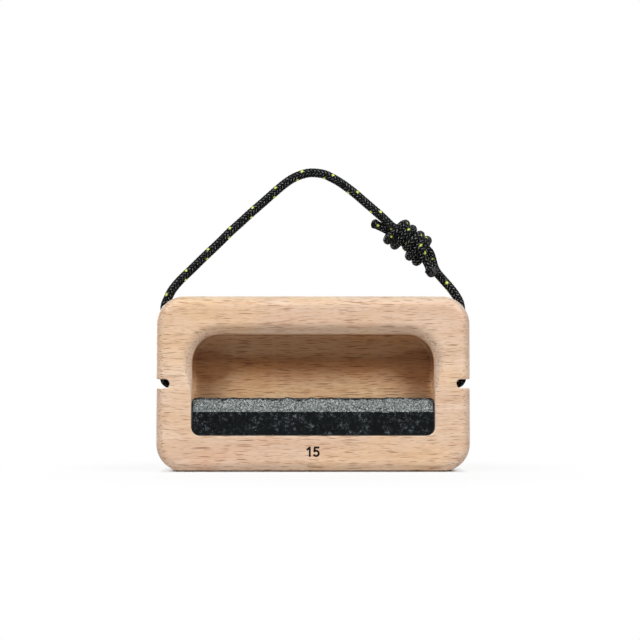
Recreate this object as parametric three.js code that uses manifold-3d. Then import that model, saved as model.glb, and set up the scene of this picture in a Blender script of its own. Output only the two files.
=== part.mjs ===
// Portable hangboard: a beech block with a finger pocket, a granite bar glued into the pocket's
// lower half as the edge, and a loop of accessory cord that runs through the block and up its sides.
// Millimetres, +Z up, front face towards -Y, origin under the middle of the block's base.
import * as THREE from "three";
import { mergeVertices } from "three/addons/utils/BufferGeometryUtils.js";
import Module from "manifold-3d";

const wasm = await Module();
wasm.setup();

const { degToRad } = THREE.MathUtils;
const RIGHT_ANGLE = Math.PI / 2;

// Driving dimensions of the wooden block.
const BLOCK_WIDTH = 180;
const BLOCK_HEIGHT = 100.5;
const BLOCK_THICKNESS = 32;
const BLOCK_CORNER_RADIUS = 16;
const BLOCK_EDGE_RADIUS = 6;
const BLOCK_CORNER_STEPS = 9;
const BLOCK_EDGE_STEPS = 5;
const CUT_OVERRUN = 4;

// Finger pocket, in the front face. Its edge is rounded over at the top and fades out below.
const POCKET_WIDTH = 139;
const POCKET_FLOOR_HEIGHT = 20.6;
const POCKET_HEIGHT = 57.8;
const POCKET_DEPTH = 15;
const POCKET_TOP_RADIUS = 16;
const POCKET_BOTTOM_RADIUS = 5;
const POCKET_EDGE_RADIUS = 7.5;
const POCKET_LOW_EDGE_RADIUS = 0.4;
const POCKET_COVE_RADIUS = 2;
const POCKET_EDGE_FADE = 22;
const POCKET_EDGE_STEPS = 5;
const POCKET_COVE_STEPS = 3;
const POCKET_ARC_STEPS = 8;
const POCKET_SIDE_STEPS = 6;

// Granite bar and its adhesive.
const BAR_HEIGHT = 21.4;
const BAR_POLISHED_HEIGHT = 13;
const BAR_BEVEL_DEPTH = 5.5;
const BAR_BEVEL_CROWN = 1;
const BAR_TOP_RADIUS = 2.2;
const BAR_ARC_STEPS = 5;
const ADHESIVE_THICKNESS = 0.5;
const ADHESIVE_RECESS = 0.6;
const ADHESIVE_TOP_RECESS = 1;
const CURVED_GAP = 0.35;

// Cord and its channel through the block.
const CORD_DIAMETER = 5;
const CORD_SIDES = 10;
const CHANNEL_Y = 6;
const BORE_DIAMETER = 5.9;
const BORE_SIDES = 24;
const NOTCH_HEIGHT = 5.2;
const NOTCH_DEPTH = 8;
const NOTCH_ARC_STEPS = 8;
const GROOVE_WIDTH = 6;
const GROOVE_DEPTH = 6;
const GROOVE_MOUTH_RADIUS = 10;
const GROOVE_MOUTH_HEIGHT = 8;
const GROOVE_ARC_STEPS = 6;
const CORD_BEND_RADIUS = 6;
const CORD_BEND_STEPS = 4;
const CORD_RUN_STEPS = 80;

// The free loop swings about this line along X, just above the block.
const PIVOT_ABOVE_BLOCK = 3.5;
const MEETING_GAP = 0.3;

// Knot: each end of the cord winds round both cords and comes out again as a tail.
const KNOT_CORD_DIAMETER = 4.2;
const KNOT_CORD_GAP = 0.6;
const KNOT_CORD_SIDES = 8;
const KNOT_STEP = 1.8;
const KNOT_PITCH = 5.1;
const KNOT_TURN_RADIUS = 4;
const KNOT_MIDDLE_GAP = 1.1;
const KNOT_CENTRE_X = 56.4;
const KNOT_ABOVE_BLOCK = 33.7;
const KNOT_TILT = degToRad(36.9);
const KNOT_ROLL = degToRad(20);
const KNOT_ENTRY = 13.2;
const KNOT_LEAD = 1.5;
const TAIL_STRAIGHT = 13;
const TURN_STEPS = 5;
const MEASURES_PER_STEP = 4;

// Centre line of the free cord, chosen by hand: the left leg from the block over the top of the loop
// to the knot, and the right leg from the block to the knot. Each point has its x, then its y from
// the middle of the channel, then its height above the block's top.
const LEFT_LEG_ROUTE = [
  [-82.9, 0, 4.2],
  [-78.5, 0, 10.1],
  [-73.3, 0, 15.7],
  [-67.4, 0, 21.8],
  [-55.2, 0, 33.5],
  [-49.2, 0, 39.5],
  [-42.9, 0, 45.2],
  [-36.6, 0, 51.0],
  [-30.3, 0, 56.5],
  [-23.9, 0, 62.2],
  [-17.3, 0, 67.8],
  [-12.6, 0, 71.0],
  [-7.9, 0, 73.1],
  [-3.1, 0, 74.3],
  [1.6, 0, 74.3],
  [6.3, 0, 73.4],
  [11.0, 0, 71.1],
  [15.7, -0.1, 68.3],
  [23.3, -0.5, 62.5],
  [30.6, -1.0, 56.1],
  [36.4, -1.5, 51.0],
  [41.6, -1.7, 46.4],
];
const RIGHT_LEG_ROUTE = [
  [81.8, 0, 4.2],
  [79.3, 0.3, 7.3],
  [76.4, 1.0, 10.7],
  [73.0, 2.0, 14.9],
  [71.2, 2.7, 18.6],
  [70.3, 2.8, 22.2],
];

// The cord's bends out of the grooves, written alike but with x inwards from the block's side.
const LEFT_MOUTH_ROUTE = [
  [4.8, 0, -0.5],
  [3.3, 0, -4.3],
];
const RIGHT_MOUTH_ROUTE = [
  [5.8, 0, 0.7],
  [4.0, 0, -3.1],
];

// Free ends of the knot's tails, from where they leave the windings.
const LOWER_TAIL_ROUTE = [
  [67.0, -2.1, 20.1],
  [69.2, -2.8, 15.4],
];
const UPPER_TAIL_ROUTE = [
  [39.2, 1.1, 42.2],
  [34.0, 1.4, 44.7],
];
const LEG_STEPS = 40;
const SHORT_LEG_STEPS = 12;

// Places worked out from the dimensions.
const FRONT_Y = -BLOCK_THICKNESS / 2;
const BACK_Y = BLOCK_THICKNESS / 2;
const SIDE_X = BLOCK_WIDTH / 2;
const NOTCH_Z = BLOCK_HEIGHT / 2;
const POCKET_BACK_Y = FRONT_Y + POCKET_DEPTH;
const POCKET_TOP_Z = POCKET_FLOOR_HEIGHT + POCKET_HEIGHT;
const BAR_BOTTOM_Z = POCKET_FLOOR_HEIGHT + ADHESIVE_THICKNESS;
const BAR_TOP_Z = BAR_BOTTOM_Z + BAR_HEIGHT;
const BAR_BACK_Y = POCKET_BACK_Y - ADHESIVE_THICKNESS;
const BAR_HALF_WIDTH = POCKET_WIDTH / 2 - ADHESIVE_THICKNESS;
const CORD_RADIUS = CORD_DIAMETER / 2;
const GROOVE_FLOOR_X = SIDE_X - GROOVE_DEPTH;
const CORD_SIDE_X = GROOVE_FLOOR_X + BORE_DIAMETER / 2;
const PIVOT_Z = BLOCK_HEIGHT + PIVOT_ABOVE_BLOCK;
const KNOT_CENTRE = new THREE.Vector3(KNOT_CENTRE_X, CHANNEL_Y, BLOCK_HEIGHT + KNOT_ABOVE_BLOCK);

const MATERIALS = {
  beech: new THREE.MeshStandardMaterial({ color: 0xdfc09d, roughness: 0.55, metalness: 0 }),
  granite: new THREE.MeshStandardMaterial({ color: 0x3a3d3e, roughness: 0.3, metalness: 0 }),
  adhesive: new THREE.MeshStandardMaterial({ color: 0x2b2623, roughness: 0.5, metalness: 0 }),
  cord: new THREE.MeshStandardMaterial({ color: 0x17181a, roughness: 0.85, metalness: 0 }),
};

// A closed geometry as a manifold-3d solid.
function solidOf(geometry) {
  const bare = geometry.clone();
  bare.deleteAttribute("normal");
  bare.deleteAttribute("uv");
  const merged = mergeVertices(bare);
  const mesh = new wasm.Mesh({
    numProp: 3,
    vertProperties: merged.attributes.position.array,
    triVerts: new Uint32Array(merged.index.array),
  });
  return new wasm.Manifold(mesh);
}

// A manifold-3d solid as a geometry.
function geometryOf(solid) {
  const { vertProperties, triVerts } = solid.getMesh();
  const geometry = new THREE.BufferGeometry();
  geometry.setAttribute("position", new THREE.BufferAttribute(vertProperties, 3));
  geometry.setIndex(new THREE.BufferAttribute(triVerts, 1));
  geometry.computeVertexNormals();
  return geometry;
}

function namedMesh(name, geometry, material) {
  const mesh = new THREE.Mesh(geometry, material);
  mesh.name = name;
  return mesh;
}

// A shape drawn in X and Z, as a slab from one y to another.
function slab(shape, fromY, toY, options) {
  const { bevel = 0, bevelSteps = 0, curveSteps } = options;
  const geometry = new THREE.ExtrudeGeometry(shape, {
    depth: toY - fromY - 2 * bevel,
    curveSegments: curveSteps,
    bevelEnabled: bevel > 0,
    bevelThickness: bevel,
    bevelSize: bevel,
    bevelOffset: -bevel,
    bevelSegments: bevelSteps,
  });
  geometry.rotateX(RIGHT_ANGLE);
  geometry.translate(0, toY - bevel, 0);
  return geometry;
}

// A rectangle from z bottom to z top, centred on x = 0, with one radius below and one above.
function roundedRectangle(width, bottom, top, lowRadius, highRadius) {
  const side = width / 2;
  const shape = new THREE.Shape();
  shape.moveTo(lowRadius - side, bottom);
  shape.lineTo(side - lowRadius, bottom);
  shape.absarc(side - lowRadius, bottom + lowRadius, lowRadius, -RIGHT_ANGLE, 0, false);
  shape.lineTo(side, top - highRadius);
  shape.absarc(side - highRadius, top - highRadius, highRadius, 0, RIGHT_ANGLE, false);
  shape.lineTo(highRadius - side, top);
  shape.absarc(highRadius - side, top - highRadius, highRadius, RIGHT_ANGLE, Math.PI, false);
  shape.lineTo(-side, bottom + lowRadius);
  shape.absarc(lowRadius - side, bottom + lowRadius, lowRadius, Math.PI, Math.PI + RIGHT_ANGLE, false);
  return shape;
}

// Rings of as many points each, one after another along a convex form, closed at both ends.
function loft(rings) {
  const count = rings[0].length;
  const positions = rings.flat().flatMap((p) => [p.x, p.y, p.z]);
  const middles = [rings[0], rings[rings.length - 1]].map((ring) =>
    ring.reduce((sum, p) => sum.add(p), new THREE.Vector3()).divideScalar(count));
  middles.forEach((p) => positions.push(p.x, p.y, p.z));
  const startMiddle = rings.length * count;
  const endMiddle = startMiddle + 1;
  const lastRing = (rings.length - 1) * count;
  const index = [];
  for (let i = 0; i < count; i++) {
    const next = (i + 1) % count;
    for (let k = 0; k < lastRing; k += count) {
      index.push(k + i, k + count + i, k + next);
      index.push(k + next, k + count + i, k + count + next);
    }
    index.push(startMiddle, i, next);
    index.push(endMiddle, lastRing + next, lastRing + i);
  }
  const geometry = new THREE.BufferGeometry();
  geometry.setAttribute("position", new THREE.Float32BufferAttribute(positions, 3));
  geometry.setIndex(index);
  return geometry;
}

// The pocket's outline with the outward normal at each point, from the lower right corner round.
function pocketOutline() {
  const side = POCKET_WIDTH / 2;
  const low = { radius: POCKET_BOTTOM_RADIUS, z: POCKET_FLOOR_HEIGHT + POCKET_BOTTOM_RADIUS };
  const high = { radius: POCKET_TOP_RADIUS, z: POCKET_TOP_Z - POCKET_TOP_RADIUS };
  const points = [];
  const corner = ({ radius, z }, sign, quarter) => {
    for (let step = 0; step <= POCKET_ARC_STEPS; step++) {
      const angle = (quarter + step / POCKET_ARC_STEPS) * RIGHT_ANGLE;
      const normal = new THREE.Vector2(Math.cos(angle), Math.sin(angle));
      points.push({ x: sign * (side - radius) + normal.x * radius, z: z + normal.y * radius, normal });
    }
  };
  const wall = (sign, order) => {
    for (const step of order) {
      const z = THREE.MathUtils.lerp(BAR_TOP_Z, high.z, step / POCKET_SIDE_STEPS);
      points.push({ x: sign * side, z, normal: new THREE.Vector2(sign, 0) });
    }
  };
  const upward = [...Array(POCKET_SIDE_STEPS).keys()];
  corner(low, 1, -1);
  wall(1, upward);
  corner(high, 1, 0);
  corner(high, -1, 1);
  wall(-1, upward.toReversed());
  corner(low, -1, 2);
  return points;
}

// The space that the finger pocket takes out of the block.
function pocketCutter() {
  const outline = pocketOutline();
  const fadeStart = POCKET_TOP_Z - POCKET_TOP_RADIUS;
  const share = (z) => THREE.MathUtils.smoothstep(z, fadeStart - POCKET_EDGE_FADE, fadeStart);
  const edgeRadius = (p) =>
    POCKET_LOW_EDGE_RADIUS + (POCKET_EDGE_RADIUS - POCKET_LOW_EDGE_RADIUS) * share(p.z);
  const coveRadius = (p) =>
    POCKET_COVE_RADIUS * THREE.MathUtils.smoothstep(p.z, BAR_TOP_Z, BAR_TOP_Z + POCKET_COVE_RADIUS);
  const ring = (place) =>
    outline.map((p) => {
      const { outward, y } = place(p);
      return new THREE.Vector3(p.x + p.normal.x * outward, y, p.z + p.normal.y * outward);
    });
  const rings = [ring((p) => ({ outward: edgeRadius(p), y: FRONT_Y - CUT_OVERRUN }))];
  for (let step = 0; step <= POCKET_EDGE_STEPS; step++) {
    const angle = (step / POCKET_EDGE_STEPS) * RIGHT_ANGLE;
    rings.push(ring((p) => ({
      outward: edgeRadius(p) * (1 - Math.sin(angle)),
      y: FRONT_Y + edgeRadius(p) * (1 - Math.cos(angle)),
    })));
  }
  for (let step = 0; step <= POCKET_COVE_STEPS; step++) {
    const angle = (step / POCKET_COVE_STEPS) * RIGHT_ANGLE;
    rings.push(ring((p) => ({
      outward: -coveRadius(p) * (1 - Math.cos(angle)),
      y: POCKET_BACK_Y - coveRadius(p) * (1 - Math.sin(angle)),
    })));
  }
  return loft(rings);
}

// A notch in the right side, open to the side and cut from front to back.
function notchCutter() {
  const half = NOTCH_HEIGHT / 2;
  const shape = new THREE.Shape();
  shape.moveTo(SIDE_X + CUT_OVERRUN, NOTCH_Z - half);
  shape.lineTo(SIDE_X + CUT_OVERRUN, NOTCH_Z + half);
  shape.lineTo(SIDE_X - NOTCH_DEPTH + half, NOTCH_Z + half);
  shape.absarc(SIDE_X - NOTCH_DEPTH + half, NOTCH_Z, half, RIGHT_ANGLE, Math.PI + RIGHT_ANGLE, false);
  return slab(shape, FRONT_Y - CUT_OVERRUN, BACK_Y + CUT_OVERRUN, { curveSteps: NOTCH_ARC_STEPS });
}

// The groove in the right side that the cord lies in, from the bore up past the rounded corner.
function grooveCutter() {
  const outside = SIDE_X + CUT_OVERRUN;
  const boreRadius = BORE_DIAMETER / 2;
  const bendX = CORD_SIDE_X - CORD_BEND_RADIUS;
  const bendInside = GROOVE_FLOOR_X - bendX;
  const mouthZ = BLOCK_HEIGHT - GROOVE_MOUTH_HEIGHT;
  const mouthX = GROOVE_FLOOR_X - GROOVE_MOUTH_RADIUS;
  const shape = new THREE.Shape();
  shape.moveTo(outside, NOTCH_Z - boreRadius);
  shape.lineTo(outside, mouthZ + GROOVE_MOUTH_RADIUS);
  shape.lineTo(mouthX, mouthZ + GROOVE_MOUTH_RADIUS);
  shape.absarc(mouthX, mouthZ, GROOVE_MOUTH_RADIUS, RIGHT_ANGLE, 0, true);
  shape.lineTo(GROOVE_FLOOR_X, NOTCH_Z + boreRadius + bendInside);
  shape.absarc(bendX, NOTCH_Z + boreRadius + bendInside, bendInside, 0, -RIGHT_ANGLE, true);
  shape.lineTo(bendX, NOTCH_Z - boreRadius);
  const halfWidth = GROOVE_WIDTH / 2;
  return slab(shape, CHANNEL_Y - halfWidth, CHANNEL_Y + halfWidth, { curveSteps: GROOVE_ARC_STEPS });
}

function boreCutter() {
  const length = 2 * (SIDE_X - NOTCH_DEPTH + CUT_OVERRUN);
  const geometry = new THREE.CylinderGeometry(BORE_DIAMETER / 2, BORE_DIAMETER / 2, length, BORE_SIDES);
  geometry.rotateZ(RIGHT_ANGLE);
  geometry.translate(0, CHANNEL_Y, NOTCH_Z);
  return geometry;
}

function beechBody() {
  const outline = roundedRectangle(
    BLOCK_WIDTH, 0, BLOCK_HEIGHT, BLOCK_CORNER_RADIUS, BLOCK_CORNER_RADIUS);
  const block = solidOf(slab(outline, FRONT_Y, BACK_Y, {
    bevel: BLOCK_EDGE_RADIUS,
    bevelSteps: BLOCK_EDGE_STEPS,
    curveSteps: BLOCK_CORNER_STEPS,
  }));
  const sideCut = solidOf(notchCutter()).add(solidOf(grooveCutter()));
  const cuts = [solidOf(pocketCutter()), solidOf(boreCutter()), sideCut, sideCut.mirror([1, 0, 0])];
  const body = cuts.reduce((rest, cut) => rest.subtract(cut), block);
  return namedMesh("beech_body", geometryOf(body), MATERIALS.beech);
}

// The bar's side view: polished front below, crowned bevel above, flat top, back and bottom.
function barProfile() {
  const bevelFoot = BAR_BOTTOM_Z + BAR_POLISHED_HEIGHT;
  const bevelTopY = FRONT_Y + BAR_BEVEL_DEPTH;
  const crown = new THREE.Vector2(BAR_TOP_Z - bevelFoot, -BAR_BEVEL_DEPTH).setLength(BAR_BEVEL_CROWN);
  const profile = new THREE.Shape();
  profile.moveTo(bevelFoot, FRONT_Y);
  profile.quadraticCurveTo(
    (bevelFoot + BAR_TOP_Z) / 2 - crown.y,
    (FRONT_Y + bevelTopY) / 2 - crown.x,
    BAR_TOP_Z,
    bevelTopY,
  );
  profile.lineTo(BAR_TOP_Z, BAR_BACK_Y);
  profile.lineTo(BAR_BOTTOM_Z, BAR_BACK_Y);
  profile.lineTo(BAR_BOTTOM_Z, FRONT_Y);
  return profile;
}

function graniteEdge() {
  const outline = roundedRectangle(
    2 * BAR_HALF_WIDTH,
    BAR_BOTTOM_Z,
    BAR_TOP_Z,
    POCKET_BOTTOM_RADIUS - ADHESIVE_THICKNESS,
    BAR_TOP_RADIUS,
  );
  const front = solidOf(slab(outline, FRONT_Y, BAR_BACK_Y, { curveSteps: BAR_ARC_STEPS }));
  const side = new THREE.ExtrudeGeometry(barProfile(), {
    depth: BLOCK_WIDTH,
    curveSegments: BAR_ARC_STEPS,
    bevelEnabled: false,
  });
  // The profile is drawn with z across and y up, so it is turned to stand up.
  side.rotateY(-RIGHT_ANGLE);
  side.translate(SIDE_X, 0, 0);
  return namedMesh("granite_edge", geometryOf(front.intersect(solidOf(side))), MATERIALS.granite);
}

// A box between two corners.
function boxBetween(low, high) {
  const size = new THREE.Vector3().subVectors(high, low);
  const middle = new THREE.Vector3().addVectors(high, low).divideScalar(2);
  const geometry = new THREE.BoxGeometry(size.x, size.y, size.z);
  geometry.translate(middle.x, middle.y, middle.z);
  return geometry;
}

// Adhesive behind, under and beside the bar. It leaves the bar's round corners free.
function adhesiveBed() {
  const side = POCKET_WIDTH / 2;
  const cornerX = side - POCKET_BOTTOM_RADIUS;
  const cornerZ = POCKET_FLOOR_HEIGHT + POCKET_BOTTOM_RADIUS;
  const frontY = FRONT_Y + ADHESIVE_RECESS;
  const topZ = BAR_TOP_Z - BAR_TOP_RADIUS - ADHESIVE_TOP_RECESS;
  const at = (x, y, z) => new THREE.Vector3(x, y, z);
  const back = roundedRectangle(
    POCKET_WIDTH - 2 * CURVED_GAP,
    POCKET_FLOOR_HEIGHT + CURVED_GAP,
    topZ,
    POCKET_BOTTOM_RADIUS,
    CURVED_GAP,
  );
  const pieces = [
    slab(back, BAR_BACK_Y, POCKET_BACK_Y, { curveSteps: BAR_ARC_STEPS }),
    boxBetween(at(-cornerX, frontY, POCKET_FLOOR_HEIGHT), at(cornerX, POCKET_BACK_Y, BAR_BOTTOM_Z)),
    boxBetween(at(BAR_HALF_WIDTH, frontY, cornerZ), at(side, POCKET_BACK_Y, topZ)),
    boxBetween(at(-side, frontY, cornerZ), at(-BAR_HALF_WIDTH, POCKET_BACK_Y, topZ)),
  ];
  const bed = pieces.map(solidOf).reduce((sum, piece) => sum.add(piece));
  return namedMesh("adhesive_bed", geometryOf(bed), MATERIALS.adhesive);
}

// A round cord along a curve, as a tube with flat ends.
function cordTube(curve, diameter, sides, steps) {
  const section = new THREE.Shape();
  const radius = diameter / 2;
  for (let i = 0; i < sides; i++) {
    const angle = (i / sides) * 2 * Math.PI;
    if (i === 0) section.moveTo(radius, 0);
    else section.lineTo(radius * Math.cos(angle), radius * Math.sin(angle));
  }
  return new THREE.ExtrudeGeometry(section, { steps, extrudePath: curve, curveSegments: 1 });
}

// The tube with a half ball at one end of its curve, at 0 or 1.
function roundEndedTube(curve, diameter, sides, steps, end) {
  const ball = new THREE.SphereGeometry(diameter / 2, sides, sides / 2);
  const place = curve.getPointAt(end);
  ball.translate(place.x, place.y, place.z);
  return geometryOf(solidOf(cordTube(curve, diameter, sides, steps)).add(solidOf(ball)));
}

const smoothCurve = (points) => new THREE.CatmullRomCurve3(points, false, "centripetal");

// The points of a route, and those of a mouth's route on the left, -1, or the right, 1.
const routePoints = (rows) =>
  rows.map(([x, y, up]) => new THREE.Vector3(x, CHANNEL_Y + y, BLOCK_HEIGHT + up));
const mouthPoints = (rows, sign) =>
  routePoints(rows.map(([inward, y, up]) => [sign * (SIDE_X - inward), y, up]));

// Where a route crosses the height of the swing line, between two of its points.
function pivotBetween(above, below) {
  return below.clone().lerp(above, (PIVOT_Z - below.z) / (above.z - below.z));
}

// The point at a distance from a start towards another point.
function stepTowards(start, target, distance) {
  return start.clone().add(target.clone().sub(start).setLength(distance));
}

// The knot's own frame: s runs along it, down to the right, and the section lies across it with its
// first axis up to the right and its second towards the front, before the knot is rolled.
const knotAxis = new THREE.Vector3(Math.cos(KNOT_TILT), 0, -Math.sin(KNOT_TILT));
const knotUp = new THREE.Vector3(Math.sin(KNOT_TILT), 0, Math.cos(KNOT_TILT));
const knotFront = new THREE.Vector3(0, -1, 0);
[knotUp, knotFront].forEach((axis) => axis.applyAxisAngle(knotAxis, KNOT_ROLL));

const KNOT_SPACING = KNOT_CORD_DIAMETER + KNOT_CORD_GAP;
const CORE_RADIUS = KNOT_SPACING / Math.sqrt(3);
const coreCord = (degrees) =>
  new THREE.Vector2(Math.cos(degToRad(degrees)), Math.sin(degToRad(degrees))).multiplyScalar(CORE_RADIUS);
const OWN_CORD = coreCord(60);
const OTHER_CORD = coreCord(-60);
const OWN_TAIL = coreCord(180);

// Seen along the knot, a cord leaves its place in the core, winds round all three cords and dives
// back into the core at the tail's place. Straight runs join the arcs, square to the angles given.
function windingSection() {
  const section = new THREE.Path();
  const around = (cord, from, to) =>
    section.absarc(cord.x, cord.y, KNOT_SPACING, degToRad(from), degToRad(to), false);
  around(OWN_TAIL, 30, 240);
  around(OTHER_CORD, 240, 360);
  around(OWN_CORD, 0, 120);
  around(OWN_TAIL, 120, 240);
  around(OTHER_CORD, 240, 360);
  around(OWN_CORD, 0, 210);
  return section;
}

// The left cord's centre line through the knot, in the knot's frame: along the core, round outwards,
// back in windings, into the core again and out as the tail.
function knotRun() {
  const section = windingSection();
  const around = section.getLength();
  const oneRound = (3 + 2 * Math.PI) * KNOT_SPACING;
  const slope = Math.atan(KNOT_PITCH / oneRound);
  const turn = RIGHT_ANGLE + slope;
  const turnAcross = KNOT_TURN_RADIUS * (1 - Math.cos(turn));
  const turnAlong = KNOT_TURN_RADIUS * Math.sin(turn);
  const lineAcross = around - 2 * turnAcross;
  const outerS = KNOT_MIDDLE_GAP + lineAcross * Math.tan(slope);
  const flat = [[0, -KNOT_ENTRY], [0, -KNOT_CORD_DIAMETER], [0, 0]];
  const outerTurnS = outerS - turnAlong;
  for (let step = 0; step <= TURN_STEPS; step++) {
    const angle = (turn * step) / TURN_STEPS;
    flat.push([KNOT_TURN_RADIUS * (1 - Math.cos(angle)), outerTurnS + KNOT_TURN_RADIUS * Math.sin(angle)]);
  }
  const lineSteps = Math.round(lineAcross / KNOT_STEP);
  for (let step = 1; step < lineSteps; step++) {
    const across = (lineAcross * step) / lineSteps;
    flat.push([turnAcross + across, outerS - across * Math.tan(slope)]);
  }
  const innerTurnS = KNOT_MIDDLE_GAP + turnAlong;
  for (let step = TURN_STEPS; step >= 0; step--) {
    const angle = (turn * step) / TURN_STEPS;
    flat.push([
      around - KNOT_TURN_RADIUS * (1 - Math.cos(angle)),
      innerTurnS - KNOT_TURN_RADIUS * Math.sin(angle),
    ]);
  }
  flat.push([around, TAIL_STRAIGHT - KNOT_CORD_DIAMETER], [around, TAIL_STRAIGHT]);
  return flat.map(([across, s]) => {
    const place = section.getPoint(across / around);
    return new THREE.Vector3(place.x, place.y, s);
  });
}

// From the knot's frame to the part's. The right cord is the left one turned half round knotUp.
function placeInKnot(point, turned) {
  const sign = turned ? -1 : 1;
  return KNOT_CENTRE.clone()
    .addScaledVector(knotUp, point.x)
    .addScaledVector(knotFront, sign * point.y)
    .addScaledVector(knotAxis, sign * point.z);
}

function knotCurve(tailRoute, turned) {
  const run = knotRun().map((point) => placeInKnot(point, turned));
  return smoothCurve([...run, ...routePoints(tailRoute)]);
}

// The least distance between the surfaces of two cords, or of one cord and itself further along.
function leastGap(pointsA, pointsB, step, own) {
  let least = Infinity;
  const apart = own ? Math.ceil((2 * KNOT_SPACING) / step) : 0;
  pointsA.forEach((a, i) => {
    for (let j = own ? i + apart : 0; j < pointsB.length; j++) {
      least = Math.min(least, a.distanceTo(pointsB[j]));
    }
  });
  return least - KNOT_CORD_DIAMETER;
}

// The cord's centre line on one side, down the groove and round into the bore.
function channelRoute(sign) {
  const bendX = CORD_SIDE_X - CORD_BEND_RADIUS;
  const bendZ = NOTCH_Z + CORD_BEND_RADIUS;
  const grooveTop = BLOCK_HEIGHT - GROOVE_MOUTH_HEIGHT - CORD_DIAMETER;
  const flat = [[CORD_SIDE_X, grooveTop], [CORD_SIDE_X, bendZ + CORD_DIAMETER]];
  for (let step = 0; step <= CORD_BEND_STEPS; step++) {
    const angle = (step / CORD_BEND_STEPS) * RIGHT_ANGLE;
    flat.push([bendX + CORD_BEND_RADIUS * Math.cos(angle), bendZ - CORD_BEND_RADIUS * Math.sin(angle)]);
  }
  flat.push([bendX - CORD_DIAMETER, NOTCH_Z]);
  return flat.map(([x, z]) => new THREE.Vector3(sign * x, CHANNEL_Y, z));
}

function reportKnotGaps(leftCurve, rightCurve) {
  const step = KNOT_STEP / MEASURES_PER_STEP;
  const left = leftCurve.getSpacedPoints(Math.round(leftCurve.getLength() / step));
  const right = rightCurve.getSpacedPoints(Math.round(rightCurve.getLength() / step));
  console.log("left cord's least gap to itself, mm", leastGap(left, left, step, true).toFixed(2));
  console.log("right cord's least gap to itself, mm", leastGap(right, right, step, true).toFixed(2));
  console.log("least gap between the knot's cords, mm", leastGap(left, right, step, false).toFixed(2));
}

// A leg's last two points before the knot, square to the end of the knot's cord.
function leadOut(knotCurveStart, sign) {
  const end = knotCurveStart.clone().addScaledVector(knotAxis, sign * MEETING_GAP);
  return [end, end.clone().addScaledVector(knotAxis, sign * KNOT_LEAD)];
}

function knotStrand(name, curve) {
  const steps = Math.round(curve.getLength() / KNOT_STEP);
  const tube = roundEndedTube(curve, KNOT_CORD_DIAMETER, KNOT_CORD_SIDES, steps, 1);
  return namedMesh(name, tube, MATERIALS.cord);
}

function legCord(name, points, steps) {
  const tube = roundEndedTube(smoothCurve(points), CORD_DIAMETER, CORD_SIDES, steps, 0);
  return namedMesh(name, tube, MATERIALS.cord);
}

const leftLegPoints = routePoints(LEFT_LEG_ROUTE);
const rightLegPoints = routePoints(RIGHT_LEG_ROUTE);
const leftMouth = mouthPoints(LEFT_MOUTH_ROUTE, -1);
const rightMouth = mouthPoints(RIGHT_MOUTH_ROUTE, 1);
const leftPivot = pivotBetween(leftLegPoints[0], leftMouth[0]);
const rightPivot = pivotBetween(rightLegPoints[0], rightMouth[0]);

// The cord in the block, up to just below the swing line on each side.
function cordChannelRun() {
  const reach = CORD_RADIUS + MEETING_GAP;
  const run = smoothCurve([
    stepTowards(leftPivot, leftMouth[0], reach),
    ...leftMouth,
    ...channelRoute(-1),
    ...channelRoute(1).reverse(),
    ...rightMouth.toReversed(),
    stepTowards(rightPivot, rightMouth[0], reach),
  ]);
  const tube = cordTube(run, CORD_DIAMETER, CORD_SIDES, CORD_RUN_STEPS);
  return namedMesh("cord_channel_run", tube, MATERIALS.cord);
}

function freeCord() {
  const leftCurve = knotCurve(LOWER_TAIL_ROUTE, false);
  const rightCurve = knotCurve(UPPER_TAIL_ROUTE, true);
  reportKnotGaps(leftCurve, rightCurve);
  const leftEnd = leadOut(leftCurve.getPointAt(0), -1).reverse();
  const rightEnd = leadOut(rightCurve.getPointAt(0), 1).reverse();
  return [
    legCord("cord_left_leg", [leftPivot, ...leftLegPoints, ...leftEnd], LEG_STEPS),
    legCord("cord_right_leg", [rightPivot, ...rightLegPoints, ...rightEnd], SHORT_LEG_STEPS),
    knotStrand("knot_left_strand", leftCurve),
    knotStrand("knot_right_strand", rightCurve),
  ];
}

const block = new THREE.Group();
block.add(beechBody(), graniteEdge(), adhesiveBed(), cordChannelRun());

const cordLoop = new THREE.Group();
cordLoop.add(...freeCord());

const hangboard = new THREE.Group();
hangboard.name = "hangboard";
hangboard.add(block, cordLoop);

export default hangboard;
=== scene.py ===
import math
import bpy
import numpy as np
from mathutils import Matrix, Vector


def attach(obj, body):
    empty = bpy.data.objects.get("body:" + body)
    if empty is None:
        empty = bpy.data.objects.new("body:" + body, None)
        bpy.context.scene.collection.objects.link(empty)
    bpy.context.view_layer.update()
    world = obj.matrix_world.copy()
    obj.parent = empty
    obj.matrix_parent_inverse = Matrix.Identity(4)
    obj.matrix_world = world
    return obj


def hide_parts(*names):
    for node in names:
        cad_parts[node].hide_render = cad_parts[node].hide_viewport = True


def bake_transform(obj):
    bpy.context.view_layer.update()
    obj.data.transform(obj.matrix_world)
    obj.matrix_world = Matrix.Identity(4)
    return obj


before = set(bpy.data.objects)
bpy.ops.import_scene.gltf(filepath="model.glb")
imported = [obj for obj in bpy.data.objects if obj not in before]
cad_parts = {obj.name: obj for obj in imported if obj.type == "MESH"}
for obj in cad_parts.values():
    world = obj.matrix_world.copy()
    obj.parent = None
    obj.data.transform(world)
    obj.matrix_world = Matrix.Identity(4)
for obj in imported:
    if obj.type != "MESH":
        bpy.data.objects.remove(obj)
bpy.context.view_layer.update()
MM = 0.001

scene = bpy.context.scene
scene.view_settings.view_transform = "Standard"

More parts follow.
